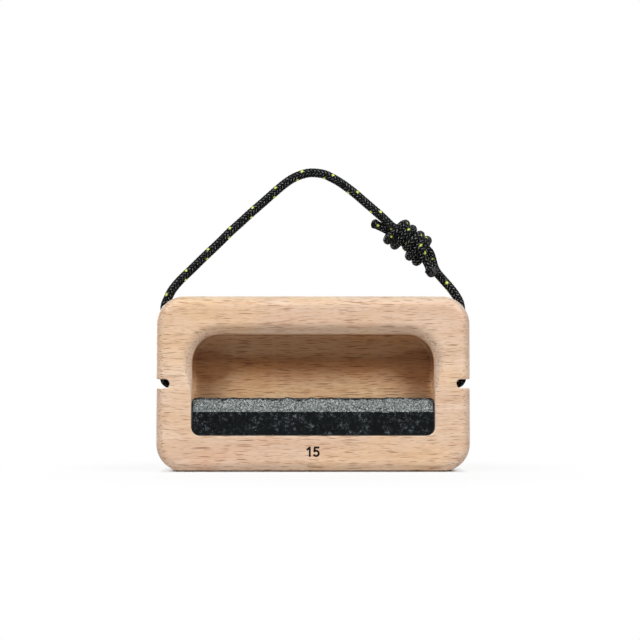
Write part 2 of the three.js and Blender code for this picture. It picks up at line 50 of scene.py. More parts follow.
# Dimensions in millimetres. Most of them repeat the part's own.
BLOCK_WIDTH = 180.0
BLOCK_HEIGHT = 100.5
BLOCK_THICKNESS = 32.0
BLOCK_CORNER_RADIUS = 16.0
BLOCK_EDGE_RADIUS = 6.0
SIDE_X = BLOCK_WIDTH / 2
FRONT_Y = -BLOCK_THICKNESS / 2
BACK_Y = BLOCK_THICKNESS / 2
POCKET_WIDTH = 139.0
POCKET_FLOOR_Z = 20.6
POCKET_TOP_Z = 78.4
POCKET_BACK_Y = -1.0
POCKET_TOP_RADIUS = 16.0
POCKET_BOTTOM_RADIUS = 5.0
POCKET_EDGE_RADIUS = 7.5
POCKET_LOW_EDGE_RADIUS = 0.5
POCKET_EDGE_FADE = 22.0
POCKET_COVE_RADIUS = 2.0
POCKET_LOW_COVE_RADIUS = 0.3
POCKET_COVE_FADE = 3
BAR_HALF_WIDTH = 69.0
BAR_BOTTOM_Z = 21.1
BAR_FOOT_Z = 34.1
BAR_TOP_Z = 42.5
BAR_BACK_Y = -1.5
BAR_BEVEL_DEPTH = 5.5
BAR_BEVEL_CROWN = 0.5
BAR_CORNER_RADIUS = 4.5
BAR_TOP_RADIUS = 2.2
BAR_FRONT_EDGE_RADIUS = 0.25
BAR_BEVEL_EDGE_RADIUS = 0.06
NOTCH_Z = BLOCK_HEIGHT / 2
NOTCH_HALF = 2.6
NOTCH_DEPTH = 8.0
GROOVE_HALF = 3.0
GROOVE_DEPTH = 6.0
GROOVE_MOUTH_RADIUS = 10.0
GROOVE_MOUTH_Z = BLOCK_HEIGHT - 8.0
BORE_RADIUS = 2.95
CHANNEL_Y = 6.0
CORD_DIAMETER = 5.0
CORD_BEND_RADIUS = 6.0
CORD_BEND_STEPS = 4
GROOVE_FLOOR_X = SIDE_X - GROOVE_DEPTH
CORD_SIDE_X = GROOVE_FLOOR_X + BORE_RADIUS
KNOT_CORD_DIAMETER = 4.2
KNOT_CORD_GAP = 0.6
KNOT_SPACING = KNOT_CORD_DIAMETER + KNOT_CORD_GAP
KNOT_PITCH = 5.1
KNOT_TURN_RADIUS = 4.0
KNOT_MIDDLE_GAP = 1.1
KNOT_CENTRE = np.array([56.4, CHANNEL_Y, BLOCK_HEIGHT + 33.7])
KNOT_TILT = math.radians(36.9)
KNOT_ROLL = math.radians(20)
KNOT_ENTRY = 13.2
KNOT_STEP = 1.8
KNOT_TURN_STEPS = 5
WINDING_DEGREES = 3
TAIL_STRAIGHT = 13.0

# The free cord's routes: x, y from the channel's middle, and the height above the block's top.
LEFT_LEG_ROUTE = [
    (-82.9, 0, 4.2), (-78.5, 0, 10.1), (-73.3, 0, 15.7), (-67.4, 0, 21.8), (-55.2, 0, 33.5),
    (-49.2, 0, 39.5), (-42.9, 0, 45.2), (-36.6, 0, 51.0), (-30.3, 0, 56.5), (-23.9, 0, 62.2),
    (-17.3, 0, 67.8), (-12.6, 0, 71.0), (-7.9, 0, 73.1), (-3.1, 0, 74.3), (1.6, 0, 74.3),
    (6.3, 0, 73.4), (11.0, 0, 71.1), (15.7, -0.1, 68.3), (23.3, -0.5, 62.5), (30.6, -1.0, 56.1),
    (36.4, -1.5, 51.0), (41.6, -1.7, 46.4),
]
RIGHT_LEG_ROUTE = [
    (81.8, 0, 4.2), (79.3, 0.3, 7.3), (76.4, 1.0, 10.7), (73.0, 2.0, 14.9), (71.2, 2.7, 18.6),
    (70.3, 2.8, 22.2),
]
LEFT_MOUTH_ROUTE = [(-85.2, 0, -0.5), (-86.7, 0, -4.3)]
RIGHT_MOUTH_ROUTE = [(84.2, 0, 0.7), (86.0, 0, -3.1)]
LOWER_TAIL_ROUTE = [(67.0, -2.1, 20.1), (69.2, -2.8, 15.4)]
UPPER_TAIL_ROUTE = [(39.2, 1.1, 42.2), (34.0, 1.4, 44.7)]

# How the cord is drawn here, in millimetres.
SPAN_POINTS = 40
CORD_STEP = 0.33
CORD_SIDES = 48
STITCH_COLUMNS = 8
STITCH_LENGTH = 2.05
STITCH_SLANT = 0.9
STITCH_RELIEF = 0.2
STITCH_MIDDLE = 0.75
STITCH_VALLEY = 0.02
STITCH_SIDE_DROP = 0.8
CORD_DRAWN_RADIUS = 2.62
KNOT_DRAWN_RADIUS = 2.47
KNOT_FLATTEN = 0.07
# The cord is squeezed up to the first distance from the knot's middle, and free from the second.
KNOT_SQUEEZE_REACH = (16, 24)
# The bend into the bore is drawn tighter than the solid's, as in the photograph.
DRAWN_BEND_RADIUS = 3.4
HIDDEN_RUN_X = 70.0
HIDDEN_RUN_GAP = 0.1
HIDDEN_RUN_POINTS = 8
HIDDEN_RUN_STEP = 0.5
# The long leg lies this much lower and further right than the solid's, as in the photograph.
# The shift grows over the heights given, and fades again over the places in X given.
LONG_LEG_SHIFT = np.array([0.4, 0.0, -0.75])
LONG_LEG_FROM_Z = (104.0, 122.0)
LONG_LEG_TO_X = (0.0, 32.0)
TRACER_PERIOD = 17.8
TRACER_HALF_LENGTH = 0.85
TRACER_HALF_WIDTH = 0.8
# A fleck fades out up to this many times its half length and half width.
FLECK_REACH = 1.5
# The tracer yarns' two rows: degrees round the cord from its front, then how far one lags behind.
LEFT_TRACERS = ((-38.0, 0.0), (63.0, -4.2))
RIGHT_TRACERS = ((4.0, 0.0), (-82.0, -3.0))
# A fleck of each half, in X and Z, that the photograph shows. The rows of tracers count from it.
LEFT_FIRST_FLECK = (-49.0, 141.3)
RIGHT_FIRST_FLECK = (79.0, 109.5)
# The tracers fade in between these distances from the half's start in the bore.
TRACER_FADE_IN = (14, 17)
# Where the knot twists the sheath, more flecks turn outwards: distance along the half and angle.
LEFT_KNOT_FLECKS = ((239, 50), (304, 300), (344, 230), (356, 250))
RIGHT_KNOT_FLECKS = ((144, 110), (155, 130), (196, 50), (239, 140))
# The squeeze narrows each fleck in the knot: this much comes off its strength at every point.
KNOT_FLECK_LOSS = 0.25
BLOB_REACH = 3.6
BLOB_LEAN = (-0.8, 0.0, -0.5)
# A tail's melted end: how long it is, how far it swells and how uneven it is.
MELTED_BLOB = (6.2, 0.75, 0.42)
MELTED_END = (3.4, 0.3, 0.08)
MELTED_ROUNDING = 2.4
MELT_STRENGTH = 1.5
SWELL_REACH = 1.2
# The melted end's lumps: two waves round it, which slide past each other along it.
LUMP_TWIST = 1.3
SECOND_LUMP_HEIGHT = 0.6
SECOND_LUMP_START = 2.1
SECOND_LUMP_TWIST = 1.4


# Camera.
LENS = 88.45
SENSOR_WIDTH = 36
CAMERA_PLACE = (0.0, -0.9146, 0.051)
CAMERA_TARGET = (0.00394, -0.016, 0.08668)


def aimed(name, data, place, direction):
    """A camera or a lamp at a place, looking in a direction."""
    obj = bpy.data.objects.new(name, data)
    scene.collection.objects.link(obj)
    obj.location = place
    obj.rotation_mode = "QUATERNION"
    obj.rotation_quaternion = direction.to_track_quat("-Z", "Y")
    return obj


def make_camera():
    data = bpy.data.cameras.new("camera")
    data.lens = LENS
    data.sensor_width = SENSOR_WIDTH
    place = Vector(CAMERA_PLACE)
    scene.camera = aimed("camera", data, place, Vector(CAMERA_TARGET) - place)


make_camera()


# Mesh helpers.
def mesh_object(name, verts_mm, faces, normals=None):
    """An object from millimetre points and faces, an array or a list of them, shaded smooth."""
    mesh = bpy.data.meshes.new(name)
    mesh.from_pydata((np.asarray(verts_mm) * MM).tolist(), [], [list(map(int, f)) for f in faces])
    mesh.polygons.foreach_set("use_smooth", np.ones(len(mesh.polygons), dtype=bool))
    if normals is not None:
        mesh.normals_split_custom_set_from_vertices(normals.tolist())
    obj = bpy.data.objects.new(name, mesh)
    scene.collection.objects.link(obj)
    return obj


def give(obj, material):
    obj.data.materials.clear()
    obj.data.materials.append(material)


# Cord centre lines.
def smooth_step(x, low, high):
    t = np.clip((x - low) / (high - low), 0, 1)
    return t * t * (3 - 2 * t)


def gaps(points):
    """The distances between neighbouring points."""
    return np.linalg.norm(np.diff(points, axis=0), axis=1)


def smooth_curve(points, step):
    """Points a step apart along the centripetal Catmull-Rom curve that the part's source uses."""
    p = np.asarray(points, float)
    p = np.vstack([2 * p[0] - p[1], p, 2 * p[-1] - p[-2]])
    t = np.linspace(0, 1, SPAN_POINTS, endpoint=False)[:, None]
    out = []
    for i in range(1, len(p) - 2):
        a, b, c, d = p[i - 1:i + 3]
        ab, bc, cd = (math.sqrt(np.linalg.norm(v)) for v in (b - a, c - b, d - c))
        t1 = ((b - a) / ab - (c - a) / (ab + bc) + (c - b) / bc) * bc
        t2 = ((c - b) / bc - (d - b) / (bc + cd) + (d - c) / cd) * bc
        out.append(b + t1 * t + (3 * (c - b) - 2 * t1 - t2) * t ** 2 + (2 * (b - c) + t1 + t2) * t ** 3)
    line = np.vstack(out + [p[-2:-1]])
    lengths = np.concatenate([[0], np.cumsum(gaps(line))])
    at = np.linspace(0, lengths[-1], int(round(lengths[-1] / step)) + 1)
    return np.stack([np.interp(at, lengths, line[:, k]) for k in range(3)], axis=1)


def route(rows):
    return [(x, CHANNEL_Y + y, BLOCK_HEIGHT + up) for x, y, up in rows]


def turned_about(v, axis, angle):
    return (v * math.cos(angle) + np.cross(axis, v) * math.sin(angle)
            + axis * np.dot(axis, v) * (1 - math.cos(angle)))


knot_axis = np.array([math.cos(KNOT_TILT), 0, -math.sin(KNOT_TILT)])
knot_up = turned_about(np.array([math.sin(KNOT_TILT), 0, math.cos(KNOT_TILT)]), knot_axis, KNOT_ROLL)
knot_front = turned_about(np.array([0.0, -1.0, 0.0]), knot_axis, KNOT_ROLL)


def winding_section():
    """Points along the section that a cord follows round the knot's core, seen along the knot."""
    core = KNOT_SPACING / math.sqrt(3)
    own, other, tail = (core * np.array([math.cos(math.radians(a)), math.sin(math.radians(a))])
                        for a in (60, -60, 180))
    points = []
    for centre, start, end in [(tail, 30, 240), (other, 240, 360), (own, 0, 120), (tail, 120, 240),
                               (other, 240, 360), (own, 0, 210)]:
        for angle in np.radians(np.linspace(start, end, 1 + (end - start) // WINDING_DEGREES)):
            points.append(centre + KNOT_SPACING * np.array([math.cos(angle), math.sin(angle)]))
    points = np.array(points)
    lengths = np.concatenate([[0], np.cumsum(gaps(points))])
    return points, lengths


def knot_run(turned):
    """One cord's centre line through the knot: along the core, out, back in windings and in again."""
    section, lengths = winding_section()
    around = lengths[-1]
    slope = math.atan(KNOT_PITCH / ((3 + 2 * math.pi) * KNOT_SPACING))
    turn = math.pi / 2 + slope
    across = KNOT_TURN_RADIUS * (1 - math.cos(turn))
    along = KNOT_TURN_RADIUS * math.sin(turn)
    line = around - 2 * across
    outer = KNOT_MIDDLE_GAP + line * math.tan(slope)
    angles = np.linspace(0, turn, KNOT_TURN_STEPS + 1)
    flat = [(0, -KNOT_ENTRY), (0, -KNOT_CORD_DIAMETER), (0, 0)]
    flat += [(KNOT_TURN_RADIUS * (1 - math.cos(a)), outer - along + KNOT_TURN_RADIUS * math.sin(a))
             for a in angles]
    steps = round(line / KNOT_STEP)
    flat += [(across + line * i / steps, outer - line * i / steps * math.tan(slope))
             for i in range(1, steps)]
    flat += [(around - KNOT_TURN_RADIUS * (1 - math.cos(a)),
              KNOT_MIDDLE_GAP + along - KNOT_TURN_RADIUS * math.sin(a)) for a in angles[::-1]]
    flat += [(around, TAIL_STRAIGHT - KNOT_CORD_DIAMETER), (around, TAIL_STRAIGHT)]
    sign = -1 if turned else 1
    places = []
    for u, s in flat:
        up, front = (np.interp(u, lengths, section[:, k]) for k in range(2))
        places.append(KNOT_CENTRE + up * knot_up + sign * front * knot_front + sign * s * knot_axis)
    return places


def channel_route(sign):
    """The cord's line down the groove and round into the bore, on the left, -1, or the right, 1."""
    bend_x = CORD_SIDE_X - DRAWN_BEND_RADIUS
    bend_z = NOTCH_Z + DRAWN_BEND_RADIUS
    flat = [(CORD_SIDE_X, GROOVE_MOUTH_Z - CORD_DIAMETER), (CORD_SIDE_X, bend_z + CORD_DIAMETER)]
    for angle in np.linspace(0, math.pi / 2, CORD_BEND_STEPS + 1):
        flat.append((bend_x + DRAWN_BEND_RADIUS * math.cos(angle),
                     bend_z - DRAWN_BEND_RADIUS * math.sin(angle)))
    flat.append((bend_x - CORD_DIAMETER, NOTCH_Z))
    return [(sign * x, CHANNEL_Y, z) for x, z in flat]


def half_line(sign, mouth, leg, turned, tail):
    """One half of the free cord, from inside the bore to the end of its tail."""
    start = [(sign * HIDDEN_RUN_X, CHANNEL_Y, NOTCH_Z)]
    return smooth_curve(start + channel_route(sign)[::-1] + route(mouth)[::-1] + route(leg)
                        + knot_run(turned) + route(tail), CORD_STEP)


# Cord meshes.
def carried_frames(line):
    """Two axes across the line at each point, carried along it without twist."""
    tangent = np.gradient(line, axis=0)
    tangent /= np.linalg.norm(tangent, axis=1)[:, None]
    first = np.array([0.0, -1.0, 0.0])
    normals = []
    for t in tangent:
        first = first - t * np.dot(first, t)
        first /= np.linalg.norm(first)
        normals.append(first)
    normals = np.array(normals)
    return normals, np.cross(tangent, normals)


def tube(name, line, radius, relief, squeeze=None, lumps=None):
    """A braided tube along a line, closed at both ends, with the braid's own coordinates in a UV map.

    Squeeze says, for each ring, how much wider it is along the knot, and lumps how uneven it is round
    about. The rings' distances along the line and the points' angles come back with the tube.
    """
    normal, side = carried_frames(line)
    count = len(line)
    s = np.arange(count) * gaps(line).mean()
    u = np.arange(CORD_SIDES) / CORD_SIDES
    column = u * STITCH_COLUMNS
    odd = np.floor(column) % 2
    across = column % 1 - 0.5
    phase = s[:, None] / STITCH_LENGTH + (1 - 2 * odd) * across * STITCH_SLANT + 0.5 * odd
    stitch = np.sqrt(np.abs(np.cos(math.pi * phase)) + STITCH_VALLEY)
    stitch = stitch * (1 - STITCH_SIDE_DROP * np.abs(2 * across) ** 3)
    r = radius[:, None] + relief[:, None] * (stitch - STITCH_MIDDLE)
    angle = 2 * math.pi * u
    if lumps is not None:
        turn = s[:, None] * LUMP_TWIST
        second = np.sin(3 * angle + SECOND_LUMP_START - SECOND_LUMP_TWIST * turn)
        r = r + lumps[:, None] * (np.sin(2 * angle + turn) + SECOND_LUMP_HEIGHT * second)
    ring = (np.cos(angle)[None, :, None] * normal[:, None, :]
            + np.sin(angle)[None, :, None] * side[:, None, :])
    offset = r[:, :, None] * ring
    if squeeze is not None:
        offset += (offset @ knot_axis * squeeze[:, None])[:, :, None] * knot_axis
    points = (line[:, None, :] + offset).reshape(-1, 3)
    faces = []
    uvs = []
    scale = 1 / STITCH_LENGTH
    for i in range(count - 1):
        low, high = i * CORD_SIDES, (i + 1) * CORD_SIDES
        for j in range(CORD_SIDES):
            k = (j + 1) % CORD_SIDES
            faces.append((low + j, low + k, high + k, high + j))
            a, b = j / CORD_SIDES, (j + 1) / CORD_SIDES
            uvs += [(a, s[i] * scale), (b, s[i] * scale), (b, s[i + 1] * scale), (a, s[i + 1] * scale)]
    ends = np.array([line[0], line[-1]])
    points = np.vstack([points, ends])
    last = (count - 1) * CORD_SIDES
    for j in range(CORD_SIDES):
        k = (j + 1) % CORD_SIDES
        faces.append((count * CORD_SIDES, k, j))
        uvs += [(0.5, 0), (0, 0), (0, 0)]
        faces.append((count * CORD_SIDES + 1, last + j, last + k))
        uvs += [(0.5, s[-1] * scale)] * 3
    obj = mesh_object(name, points, faces)
    layer = obj.data.uv_layers.new(name="braid")
    layer.data.foreach_set("uv", np.array(uvs, dtype=np.float32).ravel())
    return obj, s, angle


def paint(obj, name, values):
    """A number for each point of a mesh, which its material reads by name."""
    attribute = obj.data.attributes.new(name, "FLOAT", "POINT")
    attribute.data.foreach_set("value", np.asarray(values, dtype=np.float32))


def tracer(s, angle, first, rows):
    """How much of the yellow tracer yarn shows at each point of a tube."""
    shown = np.zeros((len(s), len(angle)))
    for row_angle, lag in rows:
        off_s = (s - first - lag + TRACER_PERIOD / 2) % TRACER_PERIOD - TRACER_PERIOD / 2
        shown = np.maximum(shown, fleck(off_s, angle, row_angle))
    return shown


def fleck(off_s, angle, at_angle):
    """How much one fleck shows, from distances along the cord to it and angles round the cord."""
    off_a = angle - math.radians(at_angle)
    around = ((off_a + math.pi) % (2 * math.pi) - math.pi) * CORD_DIAMETER / 2
    d = np.hypot(off_s[:, None] / TRACER_HALF_LENGTH, around[None, :] / TRACER_HALF_WIDTH)
    return np.clip(FLECK_REACH - d, 0, 1)


def cord_half(name, line, start_of_tracer, rows, flecks, blob):
    """Half of the free cord. It thins where the knot squeezes it, and its tail's end is melted."""
    if blob:
        end = line[-1] - line[-2]
        lean = end / np.linalg.norm(end) + np.array(BLOB_LEAN)
        lean /= np.linalg.norm(lean)
        more = np.arange(1, round(BLOB_REACH / CORD_STEP) + 1)[:, None] * CORD_STEP
        line = np.vstack([line, line[-1] + more * lean])
    count = len(line)
    along = np.arange(count) * CORD_STEP
    left = along[-1] - along
    near = 1 - smooth_step(np.linalg.norm(KNOT_CENTRE - line, axis=1), *KNOT_SQUEEZE_REACH)
    radius = CORD_DRAWN_RADIUS + (KNOT_DRAWN_RADIUS - CORD_DRAWN_RADIUS) * near
    relief = np.full(count, STITCH_RELIEF)
    melted_length, swell, unevenness = MELTED_BLOB if blob else MELTED_END
    melt = np.clip(MELT_STRENGTH * (1 - left / melted_length), 0, 1)
    radius += swell * np.sin(math.pi * np.clip(left / melted_length / SWELL_REACH, 0, 1)) ** 2
    round_off = np.clip(left / MELTED_ROUNDING, 0, 1)
    radius *= np.sqrt(np.clip(1 - (1 - round_off) ** 2, 0.002, 1))
    relief *= 1 - melt
    lumps = unevenness * melt * round_off
    obj, s, angle = tube(name, line, radius, relief, KNOT_FLATTEN * near, lumps)
    shown = tracer(s, angle, start_of_tracer, rows)
    for at, at_angle in flecks:
        shown = np.maximum(shown, fleck(s - at, angle, at_angle))
    shown = np.clip(shown - KNOT_FLECK_LOSS * near[:, None], 0, 1)
    shown = shown * (smooth_step(along, *TRACER_FADE_IN) * (1 - np.clip(melt * 3, 0, 1)))[:, None]
    paint(obj, "tracer", np.append(shown.ravel(), (0, 0)))
    paint(obj, "melt", np.append(np.repeat(melt, CORD_SIDES), (0, 1)))
    return obj


def hidden_run():
    """The cord's run through the bore, between the two halves."""
    end = HIDDEN_RUN_X - HIDDEN_RUN_GAP
    places = [(x, CHANNEL_Y, NOTCH_Z) for x in np.linspace(-end, end, HIDDEN_RUN_POINTS)]
    line = smooth_curve(places, HIDDEN_RUN_STEP)
    count = len(line)
    obj, s, angle = tube("cord_bore_run", line, np.full(count, CORD_DRAWN_RADIUS),
                         np.full(count, STITCH_RELIEF))
    paint(obj, "tracer", np.append(tracer(s, angle, 0.0, LEFT_TRACERS).ravel(), (0, 0)))
    paint(obj, "melt", np.zeros(count * CORD_SIDES + 2))
    return obj


def settled(line):
    """The left half's line, with its long leg where the photograph shows it."""
    share = smooth_step(line[:, 2], *LONG_LEG_FROM_Z) * (1 - smooth_step(line[:, 0], *LONG_LEG_TO_X))
    return line + share[:, None] * LONG_LEG_SHIFT


left_line = settled(half_line(-1, LEFT_MOUTH_ROUTE, LEFT_LEG_ROUTE, False, LOWER_TAIL_ROUTE))
right_line = half_line(1, RIGHT_MOUTH_ROUTE, RIGHT_LEG_ROUTE, True, UPPER_TAIL_ROUTE)


def tracer_start(line, place):
    """The distance along a line to its point nearest a place in X and Z."""
    return CORD_STEP * float(np.argmin(np.hypot(line[:, 0] - place[0], line[:, 2] - place[1])))


cord_left = cord_half("cord_left_half", left_line, tracer_start(left_line, LEFT_FIRST_FLECK),
                      LEFT_TRACERS, LEFT_KNOT_FLECKS, True)
cord_right = cord_half("cord_right_half", right_line, tracer_start(right_line, RIGHT_FIRST_FLECK),
                       RIGHT_TRACERS, RIGHT_KNOT_FLECKS, False)
bore_run = hidden_run()


# Shader helpers.
class Shader:
    """A node material, with short ways to add nodes and join them."""

    def __init__(self, name):
        self.material = bpy.data.materials.new(name)
        self.material.use_nodes = True
        self.tree = self.material.node_tree
        self.surface = self.tree.nodes["Principled BSDF"]
        self.out = self.tree.nodes["Material Output"]

    def link(self, value, socket):
        if isinstance(value, (int, float, tuple)):
            socket.default_value = value
        else:
            self.tree.links.new(value, socket)

    def node(self, kind, output=0, settings=None, **inputs):
        node = self.tree.nodes.new("ShaderNode" + kind)
        for key, value in (settings or {}).items():
            setattr(node, key, value)
        for key, value in inputs.items():
            self.link(value, node.inputs[key.replace("_", " ")])
        return node.outputs[output]

    def place(self):
        """The place in the object, in metres."""
        return self.node("TexCoord", output="Object")

    def painted(self, name):
        """The number painted on the mesh's points under a name."""
        return self.node("Attribute", output="Fac", settings={"attribute_name": name})

    def parts(self, vector):
        """The three numbers of a vector."""
        return self.node("SeparateXYZ", Vector=vector).node.outputs

    def math(self, operation, *values):
        node = self.tree.nodes.new("ShaderNodeMath")
        node.operation = operation
        for value, socket in zip(values, node.inputs):
            self.link(value, socket)
        return node.outputs[0]

    def times(self, a, b):
        return self.math("MULTIPLY", a, b)

    def vector_math(self, operation, vector, other):
        """A vector and a number, three numbers or another vector, put together."""
        node = self.tree.nodes.new("ShaderNodeVectorMath")
        node.operation = operation
        self.link(vector, node.inputs[0])
        self.link((other,) * 3 if isinstance(other, (int, float)) else other, node.inputs[1])
        return node.outputs[0]

    def noise(self, vector, scale, detail=3.0, roughness=0.5):
        """Soft noise from 0 to 1. Its scale is one number for all directions, or three."""
        return self.node("TexNoise", Vector=self.vector_math("MULTIPLY", vector, scale), Scale=1.0,
                         Detail=detail, Roughness=roughness)

    def cells(self, vector):
        """Random cells: the distance to a cell's middle, and three random numbers for each cell."""
        distance = self.node("TexVoronoi", output="Distance", Vector=vector, Scale=1.0)
        numbers = self.node("SeparateColor", Color=distance.node.outputs["Color"])
        return distance, numbers.node.outputs

    def step(self, value, low, high, to_low=0.0, to_high=1.0):
        """A smooth step of a value, from low to high."""
        node = self.tree.nodes.new("ShaderNodeMapRange")
        node.interpolation_type = "SMOOTHSTEP"
        for socket, x in zip(node.inputs, (value, low, high, to_low, to_high)):
            self.link(x, socket)
        return node.outputs[0]

    def mix(self, factor, a, b, blend="MIX"):
        node = self.tree.nodes.new("ShaderNodeMix")
        node.data_type = "RGBA"
        node.blend_type = blend
        self.link(factor, node.inputs["Factor"])
        colours = [socket for socket in node.inputs if socket.type == "RGBA"]
        for value, socket in zip((a, b), colours):
            self.link(value, socket)
        return [socket for socket in node.outputs if socket.type == "RGBA"][0]

    def bump(self, height, strength, distance_mm):
        return self.node("Bump", Strength=strength, Distance=distance_mm * MM, Height=height)

    def set(self, **inputs):
        for key, value in inputs.items():
            self.link(value, self.surface.inputs[key.replace("_", " ")])


def srgb(r, g, b):
    """A colour written as it shows, 0 to 255, as linear numbers."""
    def linear(c):
        c /= 255
        return c / 12.92 if c <= 0.04045 else ((c + 0.055) / 1.055) ** 2.4
    return (linear(r), linear(g), linear(b), 1.0)


# Cord material.
# Painted shade in the gaps between the stitches.
STITCH_GAP_SHADE = srgb(2, 2, 3)
SHEATH = srgb(13, 13, 14)
# Painted highlight: the glint on the stitches' crowns.
SHEATH_GLINT = srgb(132, 136, 135)
TRACER_EDGE = srgb(128, 138, 30)
TRACER = srgb(226, 234, 128)
MELTED = srgb(10, 10, 11)
# Painted highlight on the melted ends.
MELT_GLINT = srgb(72, 69, 68)
YARNS_PER_STITCH = 4
YARN_HEIGHT = 0.07


def cord_material():
    """A braid of black stitches, with painted shade in the gaps, painted glints on the crowns, tracer
    flecks and melted ends with painted highlights.
    """
    m = Shader("braided_sheath")
    turned, along, _ = m.parts(m.node("UVMap", settings={"uv_map": "braid"}))
    column = m.times(turned, float(STITCH_COLUMNS))
    across = m.math("SUBTRACT", m.math("FRACT", column), 0.5)
    odd = m.math("MODULO", m.math("FLOOR", column), 2.0)
    slant = m.times(m.math("SUBTRACT", 1.0, m.times(odd, 2.0)), STITCH_SLANT)
    shift = m.math("MULTIPLY_ADD", slant, across, m.times(odd, 0.5))
    phase = m.math("ADD", along, shift)
    ridge = m.math("ABSOLUTE", m.math("COSINE", m.times(phase, math.pi)))
    beside = m.math("ABSOLUTE", across)
    gap = m.step(beside, 0.32, 0.5, 1.0, 0.0)
    stitch = m.times(m.math("POWER", ridge, 0.6), gap)
    yarn = m.math("SINE", m.times(phase, 2 * math.pi * YARNS_PER_STITCH))
    yarn = m.math("MULTIPLY_ADD", yarn, YARN_HEIGHT, stitch)
    place = m.place()
    glint_noise = m.noise(place, 1100, 2.0)
    tracer_shown = m.painted("tracer")
    melted = m.painted("melt")
    # Painted highlights: grey glints along the stitches' crowns, patchy along the cord.
    glint = m.times(m.step(ridge, 0.78, 0.99), m.step(beside, 0.22, 0.44, 1.0, 0.0))
    glint = m.times(glint, m.step(glint_noise, 0.4, 0.64, 0.06, 1.0))
    # Painted shade: the gaps between the stitches are darker.
    base = m.mix(stitch, STITCH_GAP_SHADE, SHEATH)
    base = m.mix(glint, base, SHEATH_GLINT)
    yellow = m.mix(m.step(tracer_shown, 0.35, 0.9), TRACER_EDGE, TRACER)
    yellow_share = m.times(m.step(tracer_shown, 0.1, 0.5), m.step(stitch, 0.0, 0.3, 0.45, 1.0))
    base = m.mix(yellow_share, base, yellow)
    # Painted highlights: grey mottling on the melted ends.
    melt_glints = m.mix(m.step(m.noise(place, 420, 2.0), 0.42, 0.62), MELTED, MELT_GLINT)
    base = m.mix(m.step(melted, 0.25, 0.6), base, melt_glints)
    rough = m.step(melted, 0.3, 0.7, 0.6, 0.2)
    m.set(Base_Color=base, Roughness=rough, Specular_IOR_Level=0.04, Normal=m.bump(yarn, 0.5, 0.2))
    return m.material


CORD_LOOK = cord_material()


def finish_cord(half, nodes):
    """Half of the cord gets its look and its place in world space, and the solid's pieces that it stands
    for are hidden.
    """
    give(half, CORD_LOOK)
    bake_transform(half)
    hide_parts(*nodes)


finish_cord(cord_left, ("cord_left_leg", "knot_left_strand"))
finish_cord(cord_right, ("cord_right_leg", "knot_right_strand"))
give(bore_run, CORD_LOOK)
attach(bore_run, "block")
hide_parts("cord_channel_run")


# Solids from distance fields.
def graded(*runs):
    """Grid lines from runs of (end, step), after a first number where they start."""
    lines = [runs[0]]
    for end, step in runs[1:]:
        count = max(1, round((end - lines[-1]) / step))
        lines += list(np.linspace(lines[-1], end, count + 1)[1:])
    return np.array(lines)


def mirrored(lines):
    return np.concatenate([-lines[:0:-1], lines])


SURFACE_ROUNDS = 4
LEAST_SLOPE_SQUARED = 0.25
LEAST_LENGTH = 1e-9
GRADIENT_STEP = 0.06


def surface_net(field, xs, ys, zs, limit):
    """A closed mesh round where the field is below zero, its points moved onto the surface itself.

    Limit says how far one round may move a point, in millimetres.
    """
    axes = (xs, ys, zs)
    values = field(*np.meshgrid(xs, ys, zs, indexing="ij"))
    inside = values < 0
    shape = np.array(values.shape) - 1
    total = np.zeros((np.prod(shape), 3))
    hits = np.zeros(np.prod(shape))
    quads = []
    for axis in range(3):
        low = [slice(None)] * 3
        high = [slice(None)] * 3
        low[axis] = slice(0, -1)
        high[axis] = slice(1, None)
        low, high = tuple(low), tuple(high)
        at = np.argwhere(inside[low] != inside[high])
        a = values[low][tuple(at.T)]
        b = values[high][tuple(at.T)]
        place = np.stack([axes[k][at[:, k]] for k in range(3)], axis=1).astype(float)
        place[:, axis] += a / (a - b) * (axes[axis][at[:, axis] + 1] - axes[axis][at[:, axis]])
        u, v = [(axis + 1) % 3, (axis + 2) % 3]
        cells = []
        for du, dv in ((-1, -1), (0, -1), (0, 0), (-1, 0)):
            cell = at.copy()
            cell[:, u] += du
            cell[:, v] += dv
            flat = np.ravel_multi_index(tuple(cell.T), tuple(shape))
            np.add.at(total, flat, place)
            np.add.at(hits, flat, 1)
            cells.append(flat)
        cells = np.stack(cells, axis=1)
        cells[a >= 0] = cells[a >= 0][:, ::-1]
        quads.append(cells)
    used = np.flatnonzero(hits)
    number = np.full(len(hits), -1)
    number[used] = np.arange(len(used))
    points = total[used] / hits[used][:, None]
    faces = number[np.vstack(quads)]
    for _ in range(SURFACE_ROUNDS):
        slope = gradient(field, points)
        share = field(*points.T) / np.maximum((slope ** 2).sum(axis=1), LEAST_SLOPE_SQUARED)
        move = slope * share[:, None]
        length = np.linalg.norm(move, axis=1)[:, None]
        points = points - move * np.minimum(1, limit / np.maximum(length, LEAST_LENGTH))
    normals = gradient(field, points)
    normals /= np.maximum(np.linalg.norm(normals, axis=1)[:, None], LEAST_LENGTH)
    return points, faces, normals


def gradient(field, points):
    """How fast a field rises at each point in X, Y and Z."""
    parts = []
    for k in range(3):
        shift = np.zeros(3)
        shift[k] = GRADIENT_STEP
        rise = field(*(points + shift).T) - field(*(points - shift).T)
        parts.append(rise / (2 * GRADIENT_STEP))
    return np.stack(parts, axis=1)


def rounded_and(a, b, r):
    """The distance to what lies in both fields, its edge rounded to a radius."""
    return (np.minimum(np.maximum(a, b), -r)
            + np.hypot(np.maximum(a + r, 0), np.maximum(b + r, 0)))


def rounded_or(a, b, r):
    """The distance to what lies in either field, its inner edge rounded to a radius."""
    return -rounded_and(-a, -b, r)


